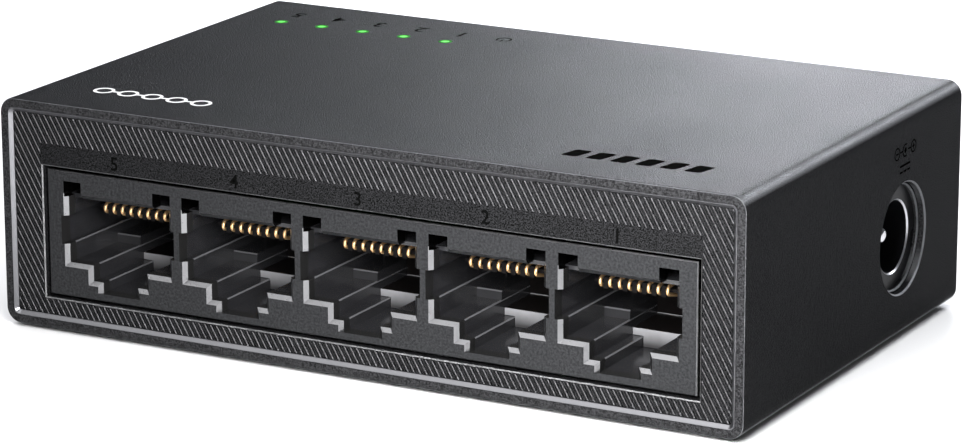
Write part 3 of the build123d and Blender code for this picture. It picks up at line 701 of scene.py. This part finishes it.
for port in range(1, 6):
    low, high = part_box(f"contact_springs_{port}")
    place = Vector(((low.x + high.x) / 2, crest_y * MM, numeral_z))
    digit = numeral(str(port), NUMERAL_FRONT)
    place_mark(f"port_number_{port}", digit, black_ink, FACE_FRONT, place)
    low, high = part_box(f"led_port_{port}")
    place = Vector(((low.x + high.x) / 2, TOP_SIGNS_Y, case_high.z))
    digit = numeral(str(port), NUMERAL_TOP)
    place_mark(f"light_number_{port}", digit, black_ink, FACE_TOP_TURNED, place)

# The power sign: a circle open at its top, with a stroke through the gap.
bm = bmesh.new()
POWER_RADIUS = 0.78 * MM
POWER_LINE = 0.22 * MM
POWER_STROKE = 0.85 * MM
POWER_STROKE_Y = 0.55 * MM
POWER_STROKE_CORNER = 0.1 * MM
arc_line(bm, 0, 0, POWER_RADIUS, POWER_LINE, 125, 415)
bar(bm, 0, POWER_STROKE_Y, POWER_LINE, POWER_STROKE, radius=POWER_STROKE_CORNER)
low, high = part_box("led_power")
power_place = Vector(((low.x + high.x) / 2, TOP_SIGNS_Y, case_high.z))
place_mark("power_sign", bm, black_ink, FACE_TOP_TURNED, power_place)

# A white mark at the front left: five linked rings, one for each port.
bm = bmesh.new()
RING_PITCH = 2.9 * MM
RING_RADIUS = 0.95 * MM
RING_LINE = 0.34 * MM
LINK_LENGTH = 0.76 * MM
for step in range(5):
    x = (step - 2) * RING_PITCH
    circle_line(bm, x, 0, RING_RADIUS, RING_LINE)
    if step < 4:
        bar(bm, x + RING_PITCH / 2, 0, LINK_LENGTH, RING_LINE)
white_place = Vector((WHITE_MARK_X, MARKS_Y, case_high.z))
place_mark("white_mark", bm, white_ink, FACE_TOP, white_place)

# A black mark at the front right: a row of plain bars that lean by a few degrees.
bm = bmesh.new()
BAR_PITCH = 2.6 * MM
BAR_LENGTH = 1.7 * MM
BAR_HEIGHT = 2.5 * MM
BAR_CORNER = 0.3 * MM
BAR_LEAN = 12
for step in range(6):
    bar(bm, (step - 2.5) * BAR_PITCH, 0, BAR_LENGTH, BAR_HEIGHT, lean=BAR_LEAN, radius=BAR_CORNER)
black_place = Vector((BLACK_MARK_X, MARKS_Y, case_high.z))
place_mark("black_mark", bm, black_ink, FACE_TOP, black_place)

# Signs over the power inlet: centre-positive polarity, and direct current.
inlet_low, inlet_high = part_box("inlet_pin")
inlet_y = (inlet_low.y + inlet_high.y) / 2
bm = bmesh.new()
POLE_X = 2.05 * MM
POLE_RADIUS = 0.6 * MM
POLE_STROKE = 0.62 * MM
SIGN_LINE = 0.15 * MM
CENTRE_DOT = 0.28 * MM
CUP_RADIUS = 0.62 * MM
CUP_LINE = 0.16 * MM
WIRE_X = 1.03 * MM
WIRE_LENGTH = 0.78 * MM
disc(bm, 0, 0, CENTRE_DOT)
arc_line(bm, 0, 0, CUP_RADIUS, CUP_LINE, 60, 300)
for side in (-1, 1):
    circle_line(bm, side * POLE_X, 0, POLE_RADIUS, SIGN_LINE)
    bar(bm, side * POLE_X, 0, POLE_STROKE, SIGN_LINE)
    bar(bm, side * WIRE_X, 0, WIRE_LENGTH, SIGN_LINE)
bar(bm, POLE_X, 0, SIGN_LINE, POLE_STROKE)
polarity_place = Vector((case_high.x, inlet_y, POLARITY_Z))
place_mark("polarity_sign", bm, black_ink, FACE_RIGHT, polarity_place)
bm = bmesh.new()
CURRENT_LINE_Y = 0.32 * MM
CURRENT_LINE = 0.22 * MM
CURRENT_LENGTH = 2.6 * MM
DASH_PITCH = 0.95 * MM
DASH_LENGTH = 0.7 * MM
bar(bm, 0, CURRENT_LINE_Y, CURRENT_LENGTH, CURRENT_LINE)
for step in (-1, 0, 1):
    bar(bm, step * DASH_PITCH, -CURRENT_LINE_Y, DASH_LENGTH, CURRENT_LINE)
direct_current_place = Vector((case_high.x, inlet_y, DIRECT_CURRENT_Z))
place_mark("direct_current_sign", bm, black_ink, FACE_RIGHT, direct_current_place)

# ------------------------------------------------------------------ floor, lights and camera
bm = bmesh.new()
bmesh.ops.create_grid(bm, x_segments=8, y_segments=8, size=4.0)
floor_nodes = Nodes("floor_paper")
paper = floor_nodes.blend(floor_nodes.noise(400.0), (0.65, 0.65, 0.655), (0.67, 0.67, 0.67))
floor_nodes.set("Base Color", paper)
floor_nodes.set("Roughness", 0.8)
floor_nodes.set("Specular IOR Level", 0.1)
floor = new_object("floor", bm, [floor_nodes.mat])

scene = bpy.context.scene
scene.view_settings.view_transform = "Standard"
world = bpy.data.worlds.new("studio")
world.use_nodes = True
scene.world = world
backdrop = world.node_tree.nodes["Background"]
backdrop.inputs["Color"].default_value = (0.9, 0.94, 1.0, 1)
backdrop.inputs["Strength"].default_value = 0.12
seen = world.node_tree.nodes.new("ShaderNodeBackground")
seen.inputs["Color"].default_value = (1, 1, 1, 1)
seen.inputs["Strength"].default_value = 1.0
ray = world.node_tree.nodes.new("ShaderNodeLightPath")
pick = world.node_tree.nodes.new("ShaderNodeMixShader")
world.node_tree.links.new(ray.outputs["Is Camera Ray"], pick.inputs[0])
world.node_tree.links.new(backdrop.outputs[0], pick.inputs[1])
world.node_tree.links.new(seen.outputs[0], pick.inputs[2])
world.node_tree.links.new(pick.outputs[0], world.node_tree.nodes["World Output"].inputs[0])


def softbox(name, place, aim, size, power, colour=(1, 1, 1)):
    """A square area light at `place`, facing `aim`."""
    light = bpy.data.lights.new(name, "AREA")
    light.shape = "RECTANGLE"
    light.size = size
    light.size_y = size
    light.energy = power
    light.color = colour
    holder = bpy.data.objects.new(name, light)
    holder.location = place
    holder.rotation_euler = (Vector(aim) - Vector(place)).to_track_quat("-Z", "Y").to_euler()
    holder.visible_camera = False
    scene.collection.objects.link(holder)


softbox("overhead", place=(-0.1, -0.05, 0.8), aim=(0, 0, 0), size=1.0, power=9.6)
softbox(
    "back_left", place=(-0.075, 0.28, 0.096), aim=(0.03, 0, 0.02),
    size=0.09, power=1.3, colour=(0.91, 0.93, 1.0),
)
softbox(
    "back_right", place=(0.13, 0.34, 0.22), aim=(0.03, 0, 0.02),
    size=0.1, power=1.2, colour=(0.93, 0.95, 1.0),
)
softbox("front_right", place=(0.040, -0.09, 0.05), aim=(0.025, -0.026, 0.012), size=0.05, power=0.27)
softbox("rib_light", place=(0.30, -0.24, 0.18), aim=(0.0, -0.02, 0.012), size=0.2, power=0.1)

# The camera looks at the case from its front right and a little above. Metres, and lens millimetres.
CAMERA_TURN = math.radians(28.56)
CAMERA_RISE = math.radians(15.41)
CAMERA_ROLL = math.radians(-0.12)
CAMERA_DISTANCE = 0.42444
AIM_RIGHT = 0.000327
AIM_UP = 0.009248
FOCAL_LENGTH = 151.97

back = Vector((
    math.sin(CAMERA_TURN) * math.cos(CAMERA_RISE),
    -math.cos(CAMERA_TURN) * math.cos(CAMERA_RISE),
    math.sin(CAMERA_RISE),
))
right = Vector((math.cos(CAMERA_TURN), math.sin(CAMERA_TURN), 0))
up = back.cross(right)
lens = bpy.data.cameras.new("camera")
lens.lens = FOCAL_LENGTH
lens.sensor_width = 36.0
lens.clip_start = 0.01
camera = bpy.data.objects.new("camera", lens)
turned = Matrix((right, up, back)).transposed().to_4x4()
spot = back * CAMERA_DISTANCE + right * AIM_RIGHT + up * AIM_UP + Vector((0, 0, case_low.z))
camera.matrix_world = Matrix.Translation(spot) @ turned @ Matrix.Rotation(CAMERA_ROLL, 4, "Z")
scene.collection.objects.link(camera)
scene.camera = camera
